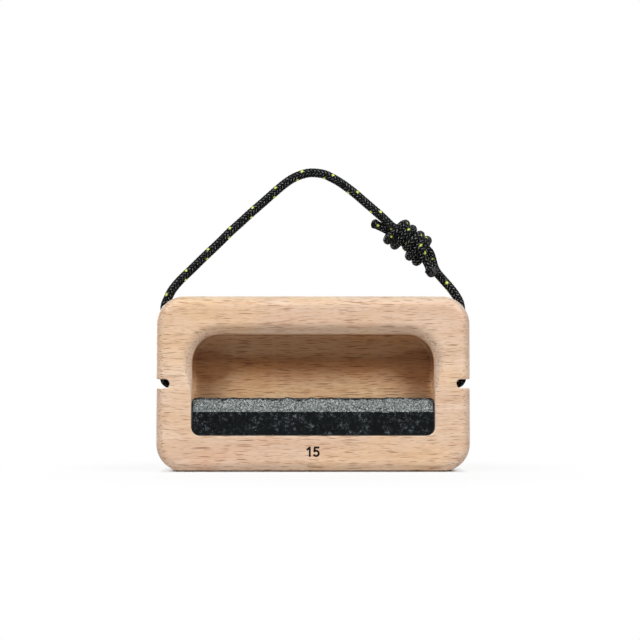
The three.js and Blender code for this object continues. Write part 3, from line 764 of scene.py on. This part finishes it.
def plate(x, z, half_width, bottom, top, low_radius, high_radius):
    """The distance in X and Z to a rectangle with one corner radius below and one above."""
    middle = (bottom + top) / 2
    r = np.where(z < middle, low_radius, high_radius)
    past_x = np.abs(x) - half_width + r
    past_z = np.abs(z - middle) - (top - bottom) / 2 + r
    beyond = np.hypot(np.maximum(past_x, 0), np.maximum(past_z, 0))
    return np.minimum(np.maximum(past_x, past_z), 0) + beyond - r


# Wooden block.
NOTCH_EASE = 0.7
GROOVE_EASE = 0.8
# The block's grid lines: where they start, then runs of (end, step).
BLOCK_GRID_X = (0.0, (60.5, 1.5), (78.5, 0.75), (91.0, 0.5))
BLOCK_GRID_Y = (-17.0, (-9.0, 0.6), (2.0, 1.0), (10.0, 0.5), (17.2, 0.65))
BLOCK_GRID_Z = (-1.0, (6.5, 0.7), (18.5, 1.5), (23.0, 0.6), (43.5, 1.2), (57.0, 0.5), (60.0, 0.8),
                (88.0, 0.8), (102.0, 0.7))
# The pocket's painted shade. It starts between these depths behind the front and reaches a little
# past the pocket's outline. It deepens upwards to full strength, and eases towards the ceiling.
SHADE_DEPTHS = (3, 9)
SHADE_MARGIN = 0.5
SHADE_FROM_Z = 43.6
SHADE_RISE = 16
SHADE_LEAST = 0.02
CEILING_EASE = 0.3
CEILING_Z = (63, 69)
# The pocket's ends have more of it, up to their tops, and less on the end walls themselves.
ENDS_SHADE = 0.42
ENDS_X = (42, 60)
ENDS_TOP_Z = (66, 73)
END_WALL_EASE = 0.8
END_WALL_X = (65, 69)


def groove_field(x, y, z):
    """The distance to the cord's groove in the right side, with a round floor."""
    side = np.abs(x)
    solid = rounded_and(side - GROOVE_FLOOR_X, z - (GROOVE_MOUTH_Z + GROOVE_MOUTH_RADIUS),
                        GROOVE_MOUTH_RADIUS)
    foot = NOTCH_Z + BORE_RADIUS
    solid = rounded_and(solid, foot - z, CORD_BEND_RADIUS - BORE_RADIUS)
    rise = np.hypot(np.maximum(GROOVE_HALF - solid, 0), y - CHANNEL_Y) - GROOVE_HALF
    bend_x = CORD_SIDE_X - CORD_BEND_RADIUS
    end = np.maximum(NOTCH_Z - BORE_RADIUS - z, bend_x - side)
    return np.maximum(rise, end)


def block_field(x, y, z):
    """The distance to the block, with its pocket, notches, grooves and bore cut out."""
    outline = plate(x, z, SIDE_X, 0.0, BLOCK_HEIGHT, BLOCK_CORNER_RADIUS, BLOCK_CORNER_RADIUS)
    body = rounded_and(outline, np.abs(y) - BACK_Y, BLOCK_EDGE_RADIUS)
    pocket = plate(x, z, POCKET_WIDTH / 2, POCKET_FLOOR_Z, POCKET_TOP_Z, POCKET_BOTTOM_RADIUS,
                   POCKET_TOP_RADIUS)
    fade_from = POCKET_TOP_Z - POCKET_TOP_RADIUS
    share = smooth_step(z, fade_from - POCKET_EDGE_FADE, fade_from)
    edge = POCKET_LOW_EDGE_RADIUS + (POCKET_EDGE_RADIUS - POCKET_LOW_EDGE_RADIUS) * share
    above_bar = smooth_step(z, BAR_TOP_Z, BAR_TOP_Z + POCKET_COVE_FADE)
    cove = POCKET_LOW_COVE_RADIUS + (POCKET_COVE_RADIUS - POCKET_LOW_COVE_RADIUS) * above_bar
    wall = rounded_and(-pocket, FRONT_Y - y, edge)
    body = np.maximum(body, rounded_or(wall, POCKET_BACK_Y - y, cove))
    inner = SIDE_X - NOTCH_DEPTH + NOTCH_HALF
    notch = np.hypot(np.minimum(np.abs(x) - inner, 0), z - NOTCH_Z) - NOTCH_HALF
    body = rounded_and(body, -notch, NOTCH_EASE)
    body = rounded_and(body, -groove_field(x, y, z), GROOVE_EASE)
    bore = np.hypot(y - CHANNEL_Y, z - NOTCH_Z) - BORE_RADIUS
    return np.maximum(body, -bore)


def make_block():
    xs = mirrored(graded(*BLOCK_GRID_X))
    points, faces, normals = surface_net(block_field, xs, graded(*BLOCK_GRID_Y), graded(*BLOCK_GRID_Z),
                                         limit=0.4)
    obj = mesh_object("beech_block", points, faces, normals)
    x, y, z = points.T
    side = np.abs(x)
    # Painted shade in the pocket, and the recess that the wood's material also reads.
    depth = smooth_step(y - FRONT_Y, *SHADE_DEPTHS) * (y < POCKET_BACK_Y + SHADE_MARGIN)
    cut = ((side < POCKET_WIDTH / 2 + SHADE_MARGIN) & (z > POCKET_FLOOR_Z - SHADE_MARGIN)
           & (z < POCKET_TOP_Z + SHADE_MARGIN))
    shade = np.clip((z - SHADE_FROM_Z) / SHADE_RISE, SHADE_LEAST, 1)
    shade = shade - CEILING_EASE * smooth_step(z, *CEILING_Z)
    ends = ENDS_SHADE * smooth_step(side, *ENDS_X) * (1 - smooth_step(z, *ENDS_TOP_Z))
    ends = ends * (1 - END_WALL_EASE * smooth_step(side, *END_WALL_X))
    paint(obj, "pocket", depth * cut * np.minimum(shade + ends, 1))
    paint(obj, "recess", depth * cut)
    return obj


block = make_block()
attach(block, "block")
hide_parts("beech_body")


# Granite bar.
LATTICE_SIZE = 61
LATTICE_SHIFT = 40
NOISE_SEED = 11
LATTICE = np.random.default_rng(NOISE_SEED).uniform(-1, 1, (LATTICE_SIZE,) * 3)
BEVEL_NORMAL = np.array([-(BAR_TOP_Z - BAR_FOOT_Z), BAR_BEVEL_DEPTH])
BEVEL_NORMAL /= np.linalg.norm(BEVEL_NORMAL)
BAR_GRID_X = (0.0, (70.0, 0.46))
BAR_GRID_Y = (-17.0, (-9.5, 0.42), (-0.6, 1.0))
BAR_GRID_Z = (20.0, (26.0, 0.6), (32.5, 1.1), (43.6, 0.42))
# The rough stone's chips: how large they are, how far they stand out and how high above the
# bevel's foot they grow. At the foot itself a share of them is left, past the places in X given.
CHIP_SIZES = (4.2, 1.7, 0.8)
CHIP_HEIGHTS = (0.13, 0.17, 0.11)
CHIP_SHIFT = 90
CHIPS_FROM_FOOT = (-0.3, 2.2)
FOOT_NICKS = 0.5
NICKS_FROM_X = (-50, -34)
CHIPS_ON_TOP = 0.6
# The broken crest: its two waves' sizes and heights, how far it lies below the bar's full height,
# and how far in front of the block's middle it grows.
CREST_SIZES = (4.6, 1.7)
CREST_HEIGHTS = (0.7, 0.55)
CREST_DROP = 0.5
CREST_AHEAD = (6, 10)
# How far the polished face reaches behind the front and above the bevel's foot, where the dark rim, a
# painted shadow, fades in inside the bar's outline, where it ends below the top, and where it lies at the
# crest.
POLISHED_DEPTH = 0.045
POLISHED_RISE = 1.2
RIM_WIDTH = (-0.75, -0.25)
RIM_END = 1.5
CREST_RIM = (-1.3, -0.6)


def value_noise(x, y, z, cell):
    """Smooth random numbers from -1 to 1, with a feature size in millimetres."""
    total = 0
    corner, t = [], []
    for value in (x, y, z):
        scaled = np.asarray(value, float) / cell + LATTICE_SHIFT
        whole = np.floor(scaled).astype(int)
        part = scaled - whole
        corner.append(whole)
        t.append(part * part * (3 - 2 * part))
    for i in (0, 1):
        for j in (0, 1):
            for k in (0, 1):
                weight = ((t[0] if i else 1 - t[0]) * (t[1] if j else 1 - t[1])
                          * (t[2] if k else 1 - t[2]))
                total = total + weight * LATTICE[(corner[0] + i) % LATTICE_SIZE,
                                                 (corner[1] + j) % LATTICE_SIZE,
                                                 (corner[2] + k) % LATTICE_SIZE]
    return total


def chips(x, y, z):
    """How far the rough stone stands in or out of its mean surface."""
    coarse = CHIP_HEIGHTS[0] * value_noise(x, y, z, CHIP_SIZES[0])
    medium = CHIP_HEIGHTS[1] * value_noise(x + CHIP_SHIFT, y, z, CHIP_SIZES[1])
    fine = CHIP_HEIGHTS[2] * value_noise(x, y + CHIP_SHIFT, z, CHIP_SIZES[2])
    foot = smooth_step(z, BAR_FOOT_Z + CHIPS_FROM_FOOT[0], BAR_FOOT_Z + CHIPS_FROM_FOOT[1])
    nicks = FOOT_NICKS * smooth_step(x, *NICKS_FROM_X)
    return (nicks + (1 - nicks) * foot) * (coarse + medium + fine)


def crest(x):
    """How far the broken top edge of the stone rises and falls along the bar."""
    return (CREST_HEIGHTS[0] * value_noise(x, 5, 0, CREST_SIZES[0])
            + CREST_HEIGHTS[1] * value_noise(x, 0, 9, CREST_SIZES[1]))


def bar_outline(x, z):
    return plate(x, z, BAR_HALF_WIDTH, BAR_BOTTOM_Z, BAR_TOP_Z, BAR_CORNER_RADIUS, BAR_TOP_RADIUS)


def bar_field(x, y, z):
    """The distance to the bar, with its crowned rough bevel and its broken crest."""
    rough = chips(x, y, z)
    body = rounded_and(bar_outline(x, z), np.maximum(FRONT_Y - y, y - BAR_BACK_Y), BAR_FRONT_EDGE_RADIUS)
    ahead = (y - FRONT_Y) * BEVEL_NORMAL[0] + (z - BAR_FOOT_Z) * BEVEL_NORMAL[1]
    up = np.clip((z - BAR_FOOT_Z) / (BAR_TOP_Z - BAR_FOOT_Z), 0, 1)
    bevel = ahead - BAR_BEVEL_CROWN * 4 * up * (1 - up) + rough
    top = z - BAR_TOP_Z + CREST_DROP + crest(x) * smooth_step(-y, *CREST_AHEAD) + rough * CHIPS_ON_TOP
    return np.maximum(rounded_and(body, bevel, BAR_BEVEL_EDGE_RADIUS), top)


def make_bar():
    xs = mirrored(graded(*BAR_GRID_X))
    points, faces, _ = surface_net(bar_field, xs, graded(*BAR_GRID_Y), graded(*BAR_GRID_Z), limit=0.3)
    obj = mesh_object("granite_bar", points, faces)
    x, y, z = points.T
    polished = (y < FRONT_Y + POLISHED_DEPTH) & (z < BAR_FOOT_Z + POLISHED_RISE)
    paint(obj, "polished", polished.astype(float))
    # Painted shadow: a dark rim inside the bar's outline and a broken dark line along its crest.
    rim = smooth_step(bar_outline(x, z), *RIM_WIDTH) * (z < BAR_TOP_Z - RIM_END)
    over = smooth_step(z - (BAR_TOP_Z - CREST_DROP - crest(x)), *CREST_RIM)
    paint(obj, "rim", np.maximum(rim, over))
    return obj


bar = make_bar()
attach(bar, "block")
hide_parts("granite_edge")


# Wood, stone and adhesive materials.
RING = srgb(217, 187, 163)
PALE_RING = srgb(232, 208, 186)
YELLOW_CLOUD = srgb(227, 191, 150)
PINK_CLOUD = srgb(223, 184, 156)
GRAIN = srgb(200, 154, 117)
FIBRE = srgb(188, 142, 106)
# Painted shade in the pocket, darker towards its top and ends.
POCKET_SHADE_TINT = srgb(147, 112, 79)
# Painted warm shade over the whole recess, standing in for light bounced between its walls.
RECESS_SHADE_TINT = srgb(255, 244, 221)
# Painted shade on the rounded ends and on the top edge.
SIDE_SHADE_TINT = srgb(229, 231, 236)
TOP_SHADE_TINT = srgb(234, 243, 247)
GRAIN_BEND = 0.006
BROKEN_DARK = srgb(64, 69, 69)
BROKEN_LIGHT = srgb(140, 145, 142)
BROKEN_GLINT = srgb(188, 193, 191)
BROKEN_PIT = srgb(30, 34, 35)
BROKEN_PATCH = srgb(98, 106, 110)
# Painted shadow along the bar's rim and crest.
RIM_SHADOW = srgb(24, 24, 24)
POLISHED = srgb(7, 9, 11)
POLISHED_PATCH = srgb(11, 16, 17)
POLISHED_ZONE = srgb(21, 22, 28)
CLUSTER = srgb(108, 117, 121)
THREAD = srgb(116, 127, 131)
CRYSTAL = srgb(140, 146, 150)
BROKEN_ROUGHNESS = 0.82
POLISHED_ROUGHNESS = 0.16
# The wood's short flecks: cells per metre in X, Y and Z, a shift, their size in cells, how strongly
# they show, the share left out and their colour.
WOOD_FLECKS = (
    ((84, 760, 1480), 0.0, 0.36, 0.8, 0.1, srgb(146, 99, 66)),
    ((46, 620, 1000), 3.7, 0.3, 0.76, 0.3, srgb(128, 84, 54)),
    ((170, 900, 2000), 8.1, 0.36, 0.54, 0.0, srgb(158, 112, 80)),
)


def wood_material():
    """Beech with slow rings and clouds, fine grain along X and short dark flecks, and painted shade
    inside the pocket, on the rounded ends and on the top edge.
    """
    m = Shader("oiled_beech")
    place = m.place()
    drift = m.noise(place, (14, 30, 60), 2.0)
    rise = m.times(m.math("SUBTRACT", drift, 0.5), GRAIN_BEND)
    bent = m.vector_math("ADD", place, m.node("CombineXYZ", Z=rise))
    grain = m.noise(bent, (45, 160, 700), 5.0, 0.62)
    fibre = m.noise(bent, (150, 400, 2300), 3.0, 0.6)
    rings = m.noise(bent, (6, 42, 95), 2.5)
    clouds = m.noise(place, (22, 30, 34), 2.0)
    base = m.mix(m.step(rings, 0.32, 0.68), RING, PALE_RING)
    base = m.mix(m.step(clouds, 0.45, 0.72, 0.0, 0.6), base, YELLOW_CLOUD)
    base = m.mix(m.step(clouds, 0.28, 0.46, 0.6, 0.0), base, PINK_CLOUD)
    base = m.mix(m.step(grain, 0.42, 0.7, 0.0, 0.42), base, GRAIN)
    recess = m.painted("recess")
    fibres = m.times(m.step(fibre, 0.45, 0.75, 0.0, 0.3), m.step(recess, 0.0, 1.0, 1.0, 2.5))
    base = m.mix(fibres, base, FIBRE)
    for scale, seed, size, strength, least, colour in WOOD_FLECKS:
        distance, numbers = m.cells(m.vector_math("ADD", m.vector_math("MULTIPLY", bent, scale), seed))
        ray = m.step(distance, size * 0.4, size, strength, 0.0)
        ray = m.times(ray, m.step(numbers[0], least, least + 0.5))
        ray = m.times(ray, m.step(recess, 0.0, 1.0, 1.0, 1.15))
        base = m.mix(ray, base, colour)
    # Painted shade: the pocket darkens towards its top and its ends.
    base = m.mix(m.times(m.painted("pocket"), 0.9), base, POCKET_SHADE_TINT, "MULTIPLY")
    # Painted warm shade over the whole recess.
    base = m.mix(recess, base, RECESS_SHADE_TINT, "MULTIPLY")
    # Painted shade: the rounded ends, which face sideways, and the top edge, which faces up, are a little
    # darker than the front.
    facing_x, _, facing_z = m.parts(m.node("NewGeometry", output="Normal"))
    outside = m.step(recess, 0.0, 0.1, 1.0, 0.0)
    side_shade = m.times(m.step(m.math("ABSOLUTE", facing_x), 0.2, 0.9), outside)
    base = m.mix(side_shade, base, SIDE_SHADE_TINT, "MULTIPLY")
    top_shade = m.times(m.step(facing_z, 0.2, 0.9), outside)
    base = m.mix(top_shade, base, TOP_SHADE_TINT, "MULTIPLY")
    fine = m.noise(place, (300, 900, 2600))
    rough = m.step(grain, 0.3, 0.8, 0.42, 0.58)
    m.set(Base_Color=base, Roughness=rough, Specular_IOR_Level=0.14, Normal=m.bump(fine, 0.12, 0.06))
    return m.material


def stone_material():
    """Dark granite: polished with grey clusters in front, and rough and light grey on the bevel."""
    m = Shader("dark_granite")
    place = m.place()
    smooth = m.step(m.painted("polished"), 0.35, 0.65)
    rim = m.painted("rim")
    _, crystals = m.cells(m.vector_math("MULTIPLY", place, 1800))
    speck = m.noise(place, 1150, 4.0, 0.65)
    patches = m.noise(place, 230, 4.0, 0.6)
    veins = m.noise(place, 520, 4.0, 0.7)
    broken = m.mix(m.step(speck, 0.38, 0.62), BROKEN_DARK, BROKEN_LIGHT)
    broken = m.mix(m.step(crystals[0], 0.6, 0.95, 0.0, 0.8), broken, BROKEN_GLINT)
    broken = m.mix(m.step(crystals[1], 0.55, 0.9, 0.0, 0.85), broken, BROKEN_PIT)
    broken = m.mix(m.step(patches, 0.4, 0.65, 0.0, 0.3), broken, BROKEN_PATCH)
    # Painted shadow: the broken dark rim and crest line.
    rim = m.times(rim, m.step(veins, 0.4, 0.52, 0.45, 1.0))
    broken = m.mix(rim, broken, RIM_SHADOW)
    grains = m.noise(place, 360, 5.0, 0.68)
    clusters = m.times(m.step(grains, 0.5, 0.68), m.step(veins, 0.42, 0.62))
    clusters = m.times(clusters, m.step(patches, 0.41, 0.55, 0.1, 1.0))
    zones = m.noise(place, 125, 2.0)
    lively = m.step(zones, 0.42, 0.56, 0.16, 1.0)
    dark = m.mix(m.step(patches, 0.35, 0.6), POLISHED, POLISHED_PATCH)
    dark = m.mix(m.step(zones, 0.5, 0.66, 0.0, 0.8), dark, POLISHED_ZONE)
    dark = m.mix(m.times(clusters, m.times(lively, 0.9)), dark, CLUSTER)
    thread = m.step(m.math("ABSOLUTE", m.math("SUBTRACT", veins, 0.5)), 0.0, 0.016, 0.7, 0.0)
    thread = m.times(thread, m.step(grains, 0.46, 0.6))
    dark = m.mix(m.times(thread, lively), dark, THREAD)
    glints = m.times(m.step(crystals[2], 0.95, 0.99), 0.26)
    dark = m.mix(m.times(glints, lively), dark, CRYSTAL)
    rough = m.step(smooth, 0.0, 1.0, BROKEN_ROUGHNESS, POLISHED_ROUGHNESS)
    height = m.times(m.math("SUBTRACT", 1.0, smooth), speck)
    m.set(Base_Color=m.mix(smooth, broken, dark), Roughness=rough, Specular_IOR_Level=0.08,
          Normal=m.bump(height, 0.6, 0.35))
    return m.material


def speckled(name, scale, low, high, dark, light, roughness, strength, distance_mm):
    """A plain material of two mixed colours, uneven to the touch."""
    m = Shader(name)
    specks = m.noise(m.place(), scale)
    m.set(Base_Color=m.mix(m.step(specks, low, high), dark, light), Roughness=roughness,
          Normal=m.bump(specks, strength, distance_mm))
    return m


give(block, wood_material())
give(bar, stone_material())
adhesive = speckled("cured_adhesive", 1500, 0.4, 0.7, srgb(22, 20, 19), srgb(46, 40, 36), 0.45, 0.4, 0.1)
give(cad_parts["adhesive_bed"], adhesive.material)


# Burned size number.
NUMERAL_STROKE = 1.2
NUMERAL_DEPTH = 0.05
NUMERAL_EDGE_RADIUS = 0.03
NUMERAL_BASE_Z = 8.6
NUMERAL_ONE = [(-3.3, 4.2), (-1.9, 5.3), (-1.9, 0.5)]
NUMERAL_FIVE = [(3.1, 5.3), (0.95, 5.3), (0.75, 3.1)]
# The bowl of the 5: its middle, its radius, and the angles where it starts and ends.
FIVE_BOWL = (1.75, 2.0, 1.5, 128, -140)
FIVE_BOWL_POINTS = 16
NUMERAL_GRID_STEP = 0.13
NUMERAL_GRID_X = (-4.2, 4.21)
NUMERAL_GRID_Y = (-0.12, 0.12, 5)
NUMERAL_GRID_Z = (-0.4, 6.3)
FAR_AWAY = 99.0


def strokes():
    """The pen's path for each of the numerals 1 and 5, as segments."""
    x, z, r, start, end = FIVE_BOWL
    angles = np.radians(np.linspace(start, end, FIVE_BOWL_POINTS))
    bowl = [(x + r * math.cos(a), z + r * math.sin(a)) for a in angles]
    for path in (NUMERAL_ONE, NUMERAL_FIVE, bowl):
        yield from zip(path[:-1], path[1:])


def numeral_field(x, y, z):
    """The distance to the numerals, a thin layer in the plane of the front face."""
    nearest = np.full(np.shape(x), FAR_AWAY)
    up = z - NUMERAL_BASE_Z
    for (ax, az), (bx, bz) in strokes():
        dx, dz = bx - ax, bz - az
        t = np.clip(((x - ax) * dx + (up - az) * dz) / (dx * dx + dz * dz), 0, 1)
        nearest = np.minimum(nearest, np.hypot(x - ax - t * dx, up - az - t * dz))
    layer = np.abs(y - FRONT_Y) - NUMERAL_DEPTH
    return rounded_and(nearest - NUMERAL_STROKE / 2, layer, NUMERAL_EDGE_RADIUS)


def burned_number():
    """The edge's depth in millimetres, as plain upright numerals burned below the stone."""
    xs = np.arange(*NUMERAL_GRID_X, NUMERAL_GRID_STEP)
    ys = FRONT_Y + np.linspace(*NUMERAL_GRID_Y)
    low, high = NUMERAL_GRID_Z
    zs = np.arange(NUMERAL_BASE_Z + low, NUMERAL_BASE_Z + high, NUMERAL_GRID_STEP)
    points, faces, normals = surface_net(numeral_field, xs, ys, zs, limit=0.05)
    number = mesh_object("edge_depth_number", points, faces, normals)
    m = speckled("burned_wood", 2500, 0.35, 0.7, srgb(14, 5, 4), srgb(36, 16, 10), 0.75, 0.3, 0.05)
    m.set(Specular_IOR_Level=0.2)
    give(number, m.material)
    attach(number, "block")


burned_number()


# Floor, background and light.
FLOOR_SIZE = 8.0
FLOOR_ALBEDO = 0.64
LIGHT_TARGET_Z = 0.05
# How much of its own shading, and so of the block's shadow, the camera sees on the white floor, at
# the block's foot and round it. The distances are metres past the foot's edges and from its middle.
FOOT_SHADE = 1.0
FOOT_REACH = (0.004, 0.018)
ROUND_SHADE = 0.1
ROUND_REACH = (0.1, 0.18)


def seen_directly(tree):
    """1 for rays from the camera, in reflections and through glass, else 0."""
    path = tree.nodes.new("ShaderNodeLightPath")
    seen = path.outputs["Is Camera Ray"]
    for name in ("Is Glossy Ray", "Is Transmission Ray"):
        node = tree.nodes.new("ShaderNodeMath")
        node.operation = "MAXIMUM"
        tree.links.new(seen, node.inputs[0])
        tree.links.new(path.outputs[name], node.inputs[1])
        seen = node.outputs[0]
    return seen


def make_floor():
    """A white floor, on which the camera sees only the shadow that the photograph shows."""
    half = FLOOR_SIZE / 2 / MM
    floor = mesh_object("floor", [(-half, -half, 0), (half, -half, 0), (half, half, 0), (-half, half, 0)],
                        [(0, 1, 2, 3)])
    m = Shader("white_floor")
    m.set(Base_Color=(FLOOR_ALBEDO,) * 3 + (1.0,), Roughness=0.9, Specular_IOR_Level=0.0)
    glow = m.node("Emission", Color=(1, 1, 1, 1), Strength=1.0)
    place = m.place()
    away = m.node("VectorMath", output="Value", settings={"operation": "LENGTH"}, Vector=place)
    foot = (SIDE_X - BLOCK_CORNER_RADIUS, BACK_Y - BLOCK_EDGE_RADIUS)
    past = [m.math("SUBTRACT", m.math("ABSOLUTE", part), half_width * MM)
            for part, half_width in zip(m.parts(place), foot)]
    near = m.step(m.math("MAXIMUM", *past), *FOOT_REACH, FOOT_SHADE, 0.0)
    around = m.step(away, *ROUND_REACH, ROUND_SHADE, 0.0)
    share = m.math("SUBTRACT", 1.0, m.math("MAXIMUM", near, around))
    mixer = m.tree.nodes.new("ShaderNodeMixShader")
    shown = m.times(seen_directly(m.tree), share)
    for value, socket in zip((shown, m.surface.outputs[0], glow), mixer.inputs):
        m.link(value, socket)
    m.link(mixer.outputs[0], m.out.inputs[0])
    give(floor, m.material)


def make_world(strength):
    """A white background that lights the object only a little."""
    world = bpy.data.worlds.new("world")
    world.use_nodes = True
    tree = world.node_tree
    background = tree.nodes["Background"]
    background.inputs["Color"].default_value = (1, 1, 1, 1)
    level = tree.nodes.new("ShaderNodeMapRange")
    tree.links.new(seen_directly(tree), level.inputs[0])
    level.inputs["To Min"].default_value = strength
    level.inputs["To Max"].default_value = 1.0
    tree.links.new(level.outputs[0], background.inputs["Strength"])
    scene.world = world


def area_light(name, azimuth, elevation, distance, size, power):
    """A soft box aimed at the block, placed by its angles as seen from the block, 0 in front."""
    data = bpy.data.lights.new(name, "AREA")
    data.shape = "RECTANGLE"
    data.size, data.size_y = size
    data.energy = power
    turn, rise = math.radians(azimuth), math.radians(elevation)
    away = Vector((math.sin(turn) * math.cos(rise), -math.cos(turn) * math.cos(rise), math.sin(rise)))
    light = aimed(name, data, Vector((0, 0, LIGHT_TARGET_Z)) + distance * away, -away)
    light.visible_camera = False


make_floor()
make_world(strength=0.05)
area_light("right_box", azimuth=55, elevation=44, distance=2.0, size=(0.62, 0.34), power=32.5)
area_light("left_box", azimuth=-55, elevation=44, distance=2.0, size=(0.62, 0.34), power=30.8)
area_light("back_box", azimuth=205, elevation=10, distance=1.6, size=(1.0, 0.6), power=16.0)
